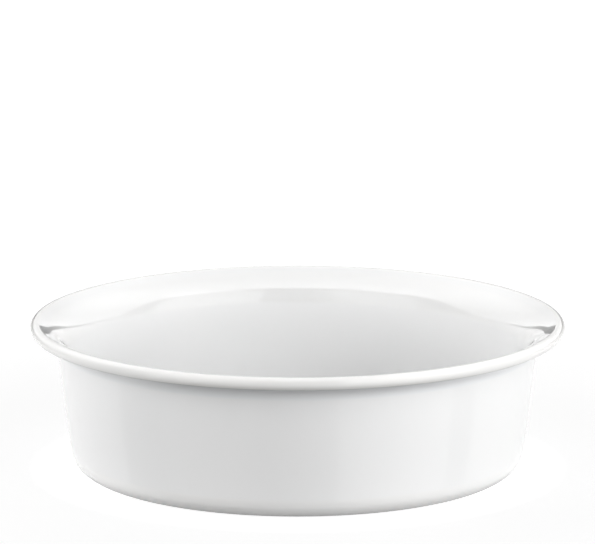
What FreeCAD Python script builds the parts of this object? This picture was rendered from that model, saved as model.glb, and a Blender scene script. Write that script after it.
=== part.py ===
import FreeCAD, Part
import math
import os

# A round oven-to-table dish of hard porcelain, pressed and fired in one piece.
# It is one turned form: a half section of lines and arcs, revolved about the upright axis.
# The origin is the centre of the foot on the table, +Z is up. Millimetres and degrees.

# The whole dish
height = 79.0               # table to the top of the lip
base_radius = 118.3         # where the line of the outer wall, carried down, meets the table
wall_draft = 6.7            # lean of the wall, by which the dish leaves its mould
wall_thickness = 5.4        # square to the wall
floor_thickness = 5.5

# The rounds between wall and floor
outer_corner_radius = 12.9
inner_corner_radius = 10.0

# The foot: a low flat ring that is left bare of glaze, round a recess
foot_width = 7.0
recess_depth = 1.5
recess_bevel = 1.5          # run of the sloping step from the ring up to the recess

# The flared rim and its thick rolled lip
rim_overhang = 12.4         # how far the lip stands out from the line of the wall
lip_thickness = 6.05        # height of the lip's outer edge
lip_top_radius = 3.0        # upper half of the lip's round edge
lip_land = 0.2              # flat along the very top of the lip
crest_radius = 3.2          # round from the lip's top down into the rim
rim_slope = 24.0            # fall of the rim's upper face towards the inside
rim_straight = 4.4          # straight run of that face between its two rounds
underside_slope = 12.0      # rise of the rim's underside towards the lip
cove_radius = 8.0           # hollow between the wall and the rim's underside

touching = 1e-6             # two rounds that end this close have no straight line between them
widest_arc = 45.0           # a round that turns further than this is drawn as several equal arcs


def meeting_point(point, angle, other_point, other_angle):
    """Where two lines of the section cross, each given by a point and its angle above the horizontal."""
    slope = FreeCAD.Vector(math.cos(math.radians(angle)), 0, math.sin(math.radians(angle)))
    other_slope = FreeCAD.Vector(math.cos(math.radians(other_angle)), 0, math.sin(math.radians(other_angle)))
    gap = other_point - point
    distance = (gap.x * other_slope.z - gap.z * other_slope.x) / (slope.x * other_slope.z - slope.z * other_slope.x)
    return point + slope * distance


def reach_of_round(radius, turn):
    """Length that a round takes off each of its two lines, where the outline turns by this angle."""
    return radius * math.tan(math.radians(turn) / 2)


def radius_for_reach(reach, turn):
    """The radius of a round that takes this length off each of its two lines."""
    return reach / math.tan(math.radians(turn) / 2)


def arcs_between(start, end, centre):
    """The shorter way round a centre from start to end, as equal arcs that each turn less than the widest."""
    spoke = start - centre
    last_spoke = end - centre
    turn = spoke.getAngle(last_spoke)
    halves = 2 * math.ceil(math.degrees(turn) / widest_arc)
    points = []
    for step in range(halves + 1):
        part = turn * step / halves
        points.append(centre + (spoke * math.sin(turn - part) + last_spoke * math.sin(part)) / math.sin(turn))
    return [Part.Arc(*points[first:first + 3]).toShape() for first in range(0, halves, 2)]


def rounded_face(corners):
    """A flat face whose outline joins the corners by straight lines, with a round of its own at each."""
    pieces = []
    pen = None
    for number, (corner, radius) in enumerate(corners):
        start = end = corner
        arcs = []
        if radius > 0:
            towards_last = (corners[number - 1][0] - corner).normalize()
            towards_next = (corners[number + 1][0] - corner).normalize()
            half_opening = towards_last.getAngle(towards_next) / 2
            reach = radius / math.tan(half_opening)
            start = corner + towards_last * reach
            end = corner + towards_next * reach
            bisector = (towards_last + towards_next).normalize()
            arcs = arcs_between(start, end, corner + bisector * (radius / math.sin(half_opening)))
        if pen is not None and pen.distanceToPoint(start) > touching:
            pieces.append(Part.LineSegment(pen, start).toShape())
        pieces += arcs
        pen = end
    pieces.append(Part.LineSegment(pen, corners[0][0]).toShape())
    return Part.Face(Part.Wire(pieces))


# The lines of the outer wall and, one thickness further in, of the inner wall
wall_angle = 90 - wall_draft
outer_wall = FreeCAD.Vector(base_radius, 0, 0)
lean = math.radians(wall_draft)
inner_wall = outer_wall + FreeCAD.Vector(-math.cos(lean), 0, math.sin(lean)) * wall_thickness

# The lip is placed from the outer wall, and the outline runs round it at the dish's full radius
rim_radius = base_radius + height * math.tan(lean) + rim_overhang
lip_edge_top = FreeCAD.Vector(rim_radius, 0, height)
lip_edge_low = FreeCAD.Vector(rim_radius, 0, height - lip_thickness)
lip_low_radius = radius_for_reach(lip_thickness - lip_top_radius, 90 - underside_slope)
cove = meeting_point(outer_wall, wall_angle, lip_edge_low, underside_slope)

# The top of the lip turns down into the rim, and the rim into the inner wall.
# That last round is as large as the rim's straight run leaves room for.
crest_reach = reach_of_round(crest_radius, rim_slope)
crest = FreeCAD.Vector(rim_radius - lip_top_radius - lip_land - crest_reach, 0, height)
shoulder = meeting_point(inner_wall, wall_angle, crest, rim_slope)
shoulder_reach = crest.distanceToPoint(shoulder) - crest_reach - rim_straight
shoulder_radius = radius_for_reach(shoulder_reach, wall_angle - rim_slope)

# The foot ring lies just inside the outer round
floor_height = recess_depth + floor_thickness
inner_corner = meeting_point(inner_wall, wall_angle, FreeCAD.Vector(0, 0, floor_height), 0)
foot_outer_radius = base_radius - reach_of_round(outer_corner_radius, wall_angle)
foot_inner_radius = foot_outer_radius - foot_width

section = rounded_face([
    (FreeCAD.Vector(0, 0, recess_depth), 0),
    (FreeCAD.Vector(foot_inner_radius - recess_bevel, 0, recess_depth), 0),
    (FreeCAD.Vector(foot_inner_radius, 0, 0), 0),
    (outer_wall, outer_corner_radius),
    (cove, cove_radius),
    (lip_edge_low, lip_low_radius),
    (lip_edge_top, lip_top_radius),
    (crest, crest_radius),
    (shoulder, shoulder_radius),
    (inner_corner, inner_corner_radius),
    (FreeCAD.Vector(0, 0, floor_height), 0),
])
dish = section.revolve(FreeCAD.Vector(0, 0, 0), FreeCAD.Vector(0, 0, 1), 360)

os.makedirs("parts", exist_ok=True)
dish.exportStep("parts/dish.step")

print("rim across", round(2 * rim_radius, 2), "shoulder radius", round(shoulder_radius, 2))
print("solids", len(dish.Solids), "valid", dish.isValid(), "volume cm3", round(dish.Volume / 1000, 1))
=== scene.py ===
import bpy
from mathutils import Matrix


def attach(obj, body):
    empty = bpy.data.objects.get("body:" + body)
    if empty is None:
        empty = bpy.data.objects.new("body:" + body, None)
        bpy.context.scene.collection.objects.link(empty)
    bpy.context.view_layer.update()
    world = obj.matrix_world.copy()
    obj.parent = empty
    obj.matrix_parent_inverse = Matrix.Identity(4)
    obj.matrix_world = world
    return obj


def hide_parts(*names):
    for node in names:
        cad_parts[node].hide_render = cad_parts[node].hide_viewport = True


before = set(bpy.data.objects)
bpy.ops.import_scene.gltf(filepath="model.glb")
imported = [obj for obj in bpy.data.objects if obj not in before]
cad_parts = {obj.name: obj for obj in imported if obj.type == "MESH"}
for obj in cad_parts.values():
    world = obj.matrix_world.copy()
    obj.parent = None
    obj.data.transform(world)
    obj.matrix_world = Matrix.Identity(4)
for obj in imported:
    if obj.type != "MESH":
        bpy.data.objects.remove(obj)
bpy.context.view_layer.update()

import bpy
import math
from mathutils import Vector

scene = bpy.context.scene

# The dish
# A round oven dish of hard porcelain, pressed in one piece between a mould and a turning
# roller, so that every cut through its axis is the same: floor, wall, hollow cove, thick
# rolled lip, flared rim and gentle shoulder.

# The section's sizes in millimetres, and its angles in degrees.
mm = 0.001
height = 79.0
base_radius = 118.3
wall_draft = 6.7
wall_thickness = 5.4
floor_thickness = 5.5
outer_corner_radius = 12.9
inner_corner_radius = 10.0
foot_width = 7.0
foot_edge_round = 0.35
recess_depth = 1.5
recess_bevel = 1.5
recess_round = 1.0
rim_overhang = 12.35
lip_thickness = 6.05
lip_top_radius = 3.0
lip_land = 0.2
crest_radius = 3.2
rim_slope = 24.0
rim_straight = 4.4
underside_slope = 12.0
cove_radius = 8.0

# How finely the section is drawn: the longest piece of a round, its widest turn, the fewest
# pieces that make a round, the longest straight piece, how near two points count as one, and
# the points on each ring.
round_step = 1.2
round_turn = 4.0
round_pieces = 4
straight_step = 9.0
same_point = 0.001
turns = 512


def direction(angle):
    """A unit step in the section, at this angle above the level."""
    return Vector((math.cos(math.radians(angle)), math.sin(math.radians(angle))))


def crossing(point, angle, other_point, other_angle):
    """Where two lines of the section cross, each given by a point and its angle."""
    run = direction(angle)
    other_run = direction(other_angle)
    gap = other_point - point
    along = (gap.x * other_run.y - gap.y * other_run.x) / (run.x * other_run.y - run.y * other_run.x)
    return point + run * along


def turned_line(corners):
    """The section's outline as (radius, height) points: straight runs, and a round at each
    corner that is given with a radius."""
    line = []
    for number, (corner, radius) in enumerate(corners):
        if radius == 0:
            line.append(corner)
            continue
        back = (corners[number - 1][0] - corner).normalized()
        ahead = (corners[number + 1][0] - corner).normalized()
        half_opening = back.angle(ahead) / 2
        reach = radius / math.tan(half_opening)
        centre = corner + (back + ahead).normalized() * (radius / math.sin(half_opening))
        start = corner + back * reach - centre
        end = corner + ahead * reach - centre
        turn = start.angle_signed(end)
        pieces = max(round_pieces, math.ceil(radius * abs(turn) / round_step),
                     math.ceil(math.degrees(abs(turn)) / round_turn))
        first = math.atan2(start.y, start.x)
        for piece in range(pieces + 1):
            angle = first - turn * piece / pieces
            point = centre + Vector((math.cos(angle), math.sin(angle))) * radius
            if (point - line[-1]).length > same_point:
                line.append(point)
    return line


wall_angle = 90 - wall_draft
lean = math.radians(wall_draft)
outer_wall = Vector((base_radius, 0))
inner_wall = outer_wall + Vector((-math.cos(lean), math.sin(lean))) * wall_thickness
rim_radius = base_radius + height * math.tan(lean) + rim_overhang
lip_edge_top = Vector((rim_radius, height))
lip_edge_low = Vector((rim_radius, height - lip_thickness))
lip_low_radius = (lip_thickness - lip_top_radius) / math.tan(math.radians(90 - underside_slope) / 2)
cove = crossing(outer_wall, wall_angle, lip_edge_low, underside_slope)
crest_reach = crest_radius * math.tan(math.radians(rim_slope) / 2)
crest = Vector((rim_radius - lip_top_radius - lip_land - crest_reach, height))
shoulder = crossing(inner_wall, wall_angle, crest, rim_slope)
shoulder_reach = (crest - shoulder).length - crest_reach - rim_straight
shoulder_radius = shoulder_reach / math.tan(math.radians(wall_angle - rim_slope) / 2)
floor_height = recess_depth + floor_thickness
inner_corner = crossing(inner_wall, wall_angle, Vector((0, floor_height)), 0)
foot_outer_radius = base_radius - outer_corner_radius * math.tan(math.radians(wall_angle) / 2)
foot_inner_radius = foot_outer_radius - foot_width

outline = turned_line([
    (Vector((0, recess_depth)), 0),
    (Vector((foot_inner_radius - recess_bevel, recess_depth)), recess_round),
    (Vector((foot_inner_radius, 0)), foot_edge_round),
    (outer_wall, outer_corner_radius),
    (cove, cove_radius),
    (lip_edge_low, lip_low_radius),
    (lip_edge_top, lip_top_radius),
    (crest, crest_radius),
    (shoulder, shoulder_radius),
    (inner_corner, inner_corner_radius),
    (Vector((0, floor_height)), 0),
])

# Long straight runs of the line get points of their own, so that no quad is long and thin.
fine = [outline[0]]
for point in outline[1:]:
    last = fine[-1]
    runs = max(1, math.ceil((point - last).length / straight_step))
    fine += [last.lerp(point, run / runs) for run in range(1, runs + 1)]
rings = fine[1:-1]

# Each ring also keeps how hollow the line is there, from -1 on an edge with a round of 6 mm or
# less to 1 in a hollow as tight.
tight_radius = 6.0
hollows = []
for number, ring in enumerate(rings):
    before = ring - fine[number]
    after = fine[number + 2] - ring
    bend = before.angle_signed(after) / ((before.length + after.length) / 2)
    hollows.append(max(-1, min(1, bend * tight_radius)))

vertices = [(0, 0, fine[0].y * mm)]
for ring in rings:
    for turn in range(turns):
        angle = 2 * math.pi * turn / turns
        vertices.append((ring.x * mm * math.cos(angle), ring.x * mm * math.sin(angle), ring.y * mm))
vertices.append((0, 0, fine[-1].y * mm))
faces = []
for turn in range(turns):
    ahead = (turn + 1) % turns
    faces.append((0, 1 + ahead, 1 + turn))
    for ring in range(len(rings) - 1):
        low = 1 + ring * turns
        high = low + turns
        faces.append((low + turn, low + ahead, high + ahead, high + turn))
    last = 1 + (len(rings) - 1) * turns
    faces.append((last + turn, last + ahead, len(vertices) - 1))
dish_mesh = bpy.data.meshes.new("dish")
dish_mesh.from_pydata(vertices, [], faces)
dish_mesh.polygons.foreach_set("use_smooth", [True] * len(dish_mesh.polygons))
hollow = dish_mesh.attributes.new("hollow", "FLOAT", "POINT")
hollow.data.foreach_set("value", [0] + [value for value in hollows for turn in range(turns)] + [0])
dish_mesh.update()
dish = bpy.data.objects.new("glazed_dish", dish_mesh)
scene.collection.objects.link(dish)
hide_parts("dish")
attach(dish, "root")


# The glaze on the dish
# Hard porcelain under a clear feldspar glaze, dipped, then fired at about 1400 degrees until
# the two are one. White with hardly a tint, and wet-looking, since the glaze runs level.

def linear(colour):
    """A colour written as sRGB hex, as the linear values that shaders take."""
    channels = [int(colour[place:place + 2], 16) / 255 for place in (0, 2, 4)]
    return [c / 12.92 if c <= 0.04045 else ((c + 0.055) / 1.055) ** 2.4 for c in channels] + [1]


def add(tree, kind, settings=None, inputs=None, links=None):
    """A new node of this kind, with its settings, the values of its sockets, and its links,
    each from a node and the name or number of its output."""
    node = tree.nodes.new(kind)
    for name, value in (settings or {}).items():
        setattr(node, name, value)
    for name, value in (inputs or {}).items():
        node.inputs[name].default_value = value
    for name, (source, output) in (links or {}).items():
        tree.links.new(source.outputs[output], node.inputs[name])
    return node


glaze = bpy.data.materials.new("clear_glazed_white_porcelain")
glaze.use_nodes = True
tree = glaze.node_tree
tree.nodes.clear()
place = add(tree, "ShaderNodeTexCoord")

# Glaze gathers in hollows, where it is thicker and a little bluer, and draws thin over round
# edges, where the warmer body shows.
gathers = add(tree, "ShaderNodeAttribute", {"attribute_name": "hollow"})
depth = add(tree, "ShaderNodeMapRange", inputs={"From Min": -1, "From Max": 1},
            links={"Value": (gathers, "Fac")})
tint = add(tree, "ShaderNodeValToRGB", links={"Fac": (depth, "Result")})
tint.color_ramp.elements[0].color = linear("eeedeb")
tint.color_ramp.elements[1].color = linear("e9ebed")
middle = tint.color_ramp.elements.new(0.5)
middle.color = linear("ececec")

# A faint cloudiness in the body, some 60 mm across.
cloud_size = 60.0
clouds = add(tree, "ShaderNodeTexNoise", inputs={"Scale": 1 / (cloud_size * mm), "Detail": 2},
             links={"Vector": (place, "Object")})
cloudy = add(tree, "ShaderNodeMapRange",
             inputs={"From Min": 0.3, "From Max": 0.7, "To Min": 0.0, "To Max": 0.35},
             links={"Value": (clouds, "Fac")})
body = add(tree, "ShaderNodeMix", {"data_type": "RGBA"}, {"B": linear("e7e8e8")},
           {"Factor": (cloudy, "Result"), "A": (tint, "Color")})

# Rare dark specks of iron under the glaze, about half a millimetre across: one cell in seven
# of a 30 mm lattice holds one.
speck_lattice = 30.0
speck_core = 0.1
speck_edge = 0.3
empty_share = 0.85
cells = add(tree, "ShaderNodeTexVoronoi", inputs={"Scale": 1 / (speck_lattice * mm)},
            links={"Vector": (place, "Object")})
near = add(tree, "ShaderNodeMapRange",
           inputs={"From Min": speck_edge / speck_lattice, "From Max": speck_core / speck_lattice},
           links={"Value": (cells, "Distance")})
lot = add(tree, "ShaderNodeSeparateColor", links={"Color": (cells, "Color")})
chosen = add(tree, "ShaderNodeMath", {"operation": "GREATER_THAN"}, {1: empty_share}, {0: (lot, "Red")})
speck = add(tree, "ShaderNodeMath", {"operation": "MULTIPLY"},
            links={0: (near, "Result"), 1: (chosen, 0)})
speckled = add(tree, "ShaderNodeMix", {"data_type": "RGBA"}, {"B": linear("a9a49c")},
               {"Factor": (speck, 0), "A": (body, "Result")})

# The level glaze still keeps a long shallow waviness, 22 mm from wave to wave and 0.012 mm
# deep, and the finest dimpling, 1.6 mm apart, which just softens the edges of reflections.
wave_length = 22.0
wave_depth = 0.012
dimple_spacing = 1.6
dimple_depth = 0.0004
waves = add(tree, "ShaderNodeTexNoise", inputs={"Scale": 1 / (wave_length * mm), "Detail": 1},
            links={"Vector": (place, "Object")})
wavy = add(tree, "ShaderNodeBump", inputs={"Strength": 1, "Distance": wave_depth * mm},
           links={"Height": (waves, "Fac")})
dimples = add(tree, "ShaderNodeTexNoise", inputs={"Scale": 1 / (dimple_spacing * mm), "Detail": 0},
              links={"Vector": (place, "Object")})
dimpled = add(tree, "ShaderNodeBump", inputs={"Strength": 1, "Distance": dimple_depth * mm},
              links={"Height": (dimples, "Fac"), "Normal": (wavy, "Normal")})

# Fired glass is smooth, with hardly any change from place to place.
smoothest = 0.02
least_smooth = 0.05
breath = add(tree, "ShaderNodeMapRange", inputs={"To Min": smoothest, "To Max": least_smooth},
             links={"Value": (clouds, "Fac")})
gloss = add(tree, "ShaderNodeBsdfPrincipled", inputs={"IOR": 1.55},
            links={"Base Color": (speckled, "Result"), "Roughness": (breath, "Result"),
                   "Normal": (dimpled, "Normal")})
add(tree, "ShaderNodeOutputMaterial", links={"Surface": (gloss, "BSDF")})
dish_mesh.materials.append(glaze)


# The bare foot of the dish
# The flat of the foot ring is wiped clean of glaze before firing, so that the dish doesn't
# stick to the kiln shelf. It stays bare vitrified body, dull to the eye and a little warmer.

bare = bpy.data.materials.new("bare_vitrified_porcelain")
bare.use_nodes = True
tree = bare.node_tree
tree.nodes.clear()
place = add(tree, "ShaderNodeTexCoord")

# Fine grit, 0.4 mm, drawn at 0.8 mm so that it shows, and greyish rub marks from shelves.
grit_size = 0.8
grit_depth = 0.05
rub_size = 14.0
wiped_height = 0.25
grit = add(tree, "ShaderNodeTexNoise",
           inputs={"Scale": 1 / (grit_size * mm), "Detail": 3, "Roughness": 0.6},
           links={"Vector": (place, "Object")})
rubs = add(tree, "ShaderNodeTexNoise", inputs={"Scale": 1 / (rub_size * mm), "Detail": 4},
           links={"Vector": (place, "Object")})
rubbed = add(tree, "ShaderNodeMapRange", inputs={"From Min": 0.5, "From Max": 0.75, "To Max": 0.6},
             links={"Value": (rubs, "Fac")})
clay = add(tree, "ShaderNodeMix", {"data_type": "RGBA"}, {"A": linear("e9e6e0"), "B": linear("cfccc6")},
           {"Factor": (rubbed, "Result")})
grainy = add(tree, "ShaderNodeBump", inputs={"Strength": 0.6, "Distance": grit_depth * mm},
             links={"Height": (grit, "Fac")})
dull = add(tree, "ShaderNodeBsdfPrincipled", inputs={"IOR": 1.5, "Roughness": 0.7},
           links={"Base Color": (clay, "Result"), "Normal": (grainy, "Normal")})
add(tree, "ShaderNodeOutputMaterial", links={"Surface": (dull, "BSDF")})
dish_mesh.materials.append(bare)
for face in dish_mesh.polygons:
    if max(dish_mesh.vertices[corner].co.z for corner in face.vertices) < wiped_height * mm:
        face.material_index = 1


# The table
# A large white sheet of polished acrylic on a studio table, under the dish. It is plain but for a painted
# shadow round the dish, and lies a hair below the foot.

sheet_reach = 9.0
sheet_level = -0.02 * mm

sheet = bpy.data.materials.new("polished_white_sheet")
sheet.use_nodes = True
tree = sheet.node_tree
tree.nodes.clear()
rays = add(tree, "ShaderNodeLightPath")
place = add(tree, "ShaderNodeTexCoord")
reach = add(tree, "ShaderNodeVectorMath", {"operation": "LENGTH"}, links={0: (place, "Object")})

# The sheet glows white to the camera, with a painted shadow round the dish, where the glow is turned down;
# the lamps' own shadow falls there as well.
shade_from = 160.0
shade_to = 700.0
near_white = 0.86
painted_shadow_round_dish = add(tree, "ShaderNodeMapRange", {"interpolation_type": "SMOOTHSTEP"},
                {"From Min": shade_from * mm, "From Max": shade_to * mm, "To Min": near_white, "To Max": 1.0},
                {"Value": (reach, "Value")})
looked_at = add(tree, "ShaderNodeMath", {"operation": "MULTIPLY"},
                links={0: (rays, "Is Camera Ray"), 1: (painted_shadow_round_dish, "Result")})

# In the glaze's reflections it glows about half as bright, and a painted shadow fades that glow out
# under the foot.
dark_within = 105.0
light_beyond = 113.0
mirrored_white = 0.45
shadow = add(tree, "ShaderNodeMapRange", {"interpolation_type": "SMOOTHSTEP"},
             {"From Min": dark_within * mm, "From Max": light_beyond * mm, "To Max": mirrored_white},
             {"Value": (reach, "Value")})
mirrored = add(tree, "ShaderNodeMath", {"operation": "MULTIPLY"},
               links={0: (rays, "Is Glossy Ray"), 1: (shadow, "Result")})
shown = add(tree, "ShaderNodeMath", {"operation": "MAXIMUM"},
            links={0: (looked_at, 0), 1: (mirrored, 0)})
glow = add(tree, "ShaderNodeMath", {"operation": "MAXIMUM"},
           links={0: (shown, 0), 1: (rays, "Is Transmission Ray")})
white = add(tree, "ShaderNodeEmission", inputs={"Color": linear("ffffff")},
            links={"Strength": (glow, 0)})

# The sheet's own surface throws some light back at the dish: more from the round card that
# the dish stands on, nearly as wide as the rim, and less beyond. In reflections it also has
# the shine of polished acrylic, most at a low angle.
card_radius = 128.0
card_end = 142.0
card = add(tree, "ShaderNodeMapRange", inputs={"From Min": card_radius * mm, "From Max": card_end * mm},
           links={"Value": (reach, "Value")})
paper = add(tree, "ShaderNodeMix", {"data_type": "RGBA"}, {"A": linear("a8a8a8"), "B": linear("6c6c6c")},
            {"Factor": (card, "Result")})
matt = add(tree, "ShaderNodeBsdfDiffuse", links={"Color": (paper, "Result")})
glance = add(tree, "ShaderNodeLayerWeight", inputs={"Blend": 0.5})
shiny = add(tree, "ShaderNodeMapRange", inputs={"To Min": 0.08, "To Max": 0.42},
            links={"Value": (glance, "Facing")})
shine = add(tree, "ShaderNodeMath", {"operation": "MULTIPLY"},
            links={0: (rays, "Is Glossy Ray"), 1: (shiny, "Result")})
polish = add(tree, "ShaderNodeBsdfGlossy", inputs={"Color": linear("ffffff"), "Roughness": 0.05})
laid = add(tree, "ShaderNodeMixShader", links={0: (shine, 0), 1: (matt, 0), 2: (polish, 0)})
both = add(tree, "ShaderNodeAddShader", links={0: (white, 0), 1: (laid, 0)})
add(tree, "ShaderNodeOutputMaterial", links={"Surface": (both, 0)})

corners = [(-1, -1), (1, -1), (1, 1), (-1, 1)]
table_mesh = bpy.data.meshes.new("table_top")
table_mesh.from_pydata([(x * sheet_reach, y * sheet_reach, sheet_level) for x, y in corners],
                       [], [(0, 1, 2, 3)])
table_mesh.materials.append(sheet)
table_top = bpy.data.objects.new("table_top", table_mesh)
scene.collection.objects.link(table_top)


# The white sky
# A white background, and over the set a wide white screen that shows in the glaze. Both are
# the world: white to the camera, brighter overhead in reflections, and no light of its own.

dim_below = 15.0
bright_above = 50.0
sky_low = 1.45
sky_high = 3.5
world = bpy.data.worlds.new("white_sky")
world.use_nodes = True
scene.world = world
tree = world.node_tree
tree.nodes.clear()
rays = add(tree, "ShaderNodeLightPath")
toward = add(tree, "ShaderNodeTexCoord")
rise = add(tree, "ShaderNodeSeparateXYZ", links={"Vector": (toward, "Generated")})
level = add(tree, "ShaderNodeMapRange", {"interpolation_type": "SMOOTHSTEP"},
            {"From Min": math.sin(math.radians(dim_below)), "From Max": math.sin(math.radians(bright_above)),
             "To Min": sky_low, "To Max": sky_high},
            {"Value": (rise, "Z")})
mirrored = add(tree, "ShaderNodeMath", {"operation": "MULTIPLY"},
               links={0: (rays, "Is Glossy Ray"), 1: (level, "Result")})
shown = add(tree, "ShaderNodeMath", {"operation": "MAXIMUM"},
            links={0: (mirrored, 0), 1: (rays, "Is Camera Ray")})
glow = add(tree, "ShaderNodeMath", {"operation": "MAXIMUM"},
           links={0: (shown, 0), 1: (rays, "Is Transmission Ray")})
sky = add(tree, "ShaderNodeBackground", inputs={"Color": linear("ffffff")},
          links={"Strength": (glow, 0)})
add(tree, "ShaderNodeOutputWorld", links={"Surface": (sky, 0)})


# The curtain
# A dark grey felt curtain all round the set, seen only as the dark below the sky in the glaze.
# In front its top is a tilted ring, 55 degrees high. Beside the dish it comes down, and behind
# the dish it hangs 9 degrees high, which gives the dark wedges at the rim's two ends.

curtain = bpy.data.materials.new("dark_grey_curtain")
curtain.use_nodes = True
curtain.node_tree.nodes.clear()
felt = add(curtain.node_tree, "ShaderNodeBsdfDiffuse", inputs={"Color": linear("4a4a4a")})
add(curtain.node_tree, "ShaderNodeOutputMaterial", links={"Surface": (felt, 0)})

curtain_radius = 2.4
curtain_columns = 180
curtain_rows = 12
ring_tilt = math.radians(66.75)
ring_spread = math.radians(58.25)
side_from = 84.0
side_to = 104.0
side_fall = 1.4
back_height = 9.0


def ring_height(azimuth):
    """How high the tilted ring stands in this direction, seen from the dish, in radians. Its
    middle is ring_tilt up behind the dish, and every point of it ring_spread away from there."""
    level = -math.cos(ring_tilt) * math.cos(azimuth)
    upright = math.sin(ring_tilt)
    return math.asin(math.cos(ring_spread) / math.hypot(level, upright)) - math.atan2(level, upright)


curtain_points = []
curtain_faces = []
for column in range(curtain_columns):
    heading = 360 * column / curtain_columns
    azimuth = math.radians(heading)
    top = ring_height(azimuth)
    aside = min(heading, 360 - heading)
    if aside > side_from:
        top = min(top, math.radians(back_height + max(0, side_to - aside) * side_fall))
    for row in range(curtain_rows + 1):
        rise = top * row / curtain_rows
        curtain_points.append((math.sin(azimuth) * math.cos(rise) * curtain_radius,
                               -math.cos(azimuth) * math.cos(rise) * curtain_radius,
                               math.sin(rise) * curtain_radius))
    here = column * (curtain_rows + 1)
    ahead = (column + 1) % curtain_columns * (curtain_rows + 1)
    for row in range(curtain_rows):
        curtain_faces.append((here + row, ahead + row, ahead + row + 1, here + row + 1))
curtain_mesh = bpy.data.meshes.new("curtain")
curtain_mesh.from_pydata(curtain_points, [], curtain_faces)
curtain_mesh.materials.append(curtain)
curtain_wall = bpy.data.objects.new("curtain", curtain_mesh)
scene.collection.objects.link(curtain_wall)
curtain_wall.visible_camera = False
curtain_wall.visible_shadow = False


# The lamps
# Two upright soft boxes stand in front, one to each side, and show in the glaze. Frames of
# white cloth all round light the dish without a reflection of their own. Directions are in
# degrees seen from the dish: azimuth 0 is straight in front, and 90 to the right.

middle_height = 40 * mm


def soft_box(name, first, last, low, high, brightness, distance=1.5):
    """An upright soft box that fills this much of the view, between two azimuths and two
    elevations."""
    turn = math.radians((first + last) / 2)
    bottom = distance * math.tan(math.radians(low))
    top = distance * math.tan(math.radians(high))
    lamp = bpy.data.lights.new(name, "AREA")
    lamp.shape = "RECTANGLE"
    lamp.size = 2 * distance * math.tan(math.radians(last - first) / 2)
    lamp.size_y = top - bottom
    lamp.energy = brightness * math.pi * lamp.size * lamp.size_y
    box = bpy.data.objects.new(name, lamp)
    scene.collection.objects.link(box)
    box.location = (math.sin(turn) * distance, -math.cos(turn) * distance,
                    middle_height + (bottom + top) / 2)
    box.rotation_euler = (math.radians(90), 0, turn)
    box.visible_camera = False


soft_box("front_right_box", 19.5, 80, 1, 50, 1.85)
soft_box("front_left_box", -68, -19, 1, 50, 1.05)


def fill(name, azimuth, elevation, brightness, size=0.9, distance=1.7):
    """A square frame of white cloth lit from behind, which faces the dish."""
    turn = math.radians(azimuth)
    rise = math.radians(elevation)
    away = Vector((math.sin(turn) * math.cos(rise), -math.cos(turn) * math.cos(rise), math.sin(rise)))
    lamp = bpy.data.lights.new(name, "AREA")
    lamp.shape = "SQUARE"
    lamp.size = size
    lamp.energy = brightness * math.pi * size * size
    cloth = bpy.data.objects.new(name, lamp)
    scene.collection.objects.link(cloth)
    cloth.location = Vector((0, 0, middle_height)) + away * distance
    cloth.rotation_euler = away.to_track_quat("Z", "Y").to_euler()
    cloth.visible_camera = False
    cloth.visible_glossy = False
    cloth.visible_transmission = False


fill("front_fill", 0, 14, 1.7)
fill("front_right_fill", 45, 14, 3.5)
fill("right_low_fill", 90, -4, 7.6)
fill("right_fill", 90, 14, 0.6)
fill("back_right_fill", 135, 14, 2.7)
fill("back_fill", 180, 14, 3.2)
fill("back_high_fill", 180, 50, 1.1)
fill("back_left_fill", -135, 14, 2.4)
fill("left_fill", -90, 14, 7.4)
fill("left_low_fill", -90, -4, 2.1)


# The camera
# A long lens, a little above the rim, level from side to side and aimed just over the dish.

camera_elevation = math.radians(13.79)
camera_distance = 3.08
aim_lift = math.radians(1.9)
lens = bpy.data.cameras.new("camera")
lens.sensor_width = 36
lens.lens = 353.3
lens.clip_end = 50
camera = bpy.data.objects.new("camera", lens)
scene.collection.objects.link(camera)
away = Vector((0, -math.cos(camera_elevation), math.sin(camera_elevation)))
camera.location = away * camera_distance
camera.rotation_euler = (math.radians(90) - camera_elevation + aim_lift, 0, 0)
scene.camera = camera
scene.view_settings.view_transform = "Standard"
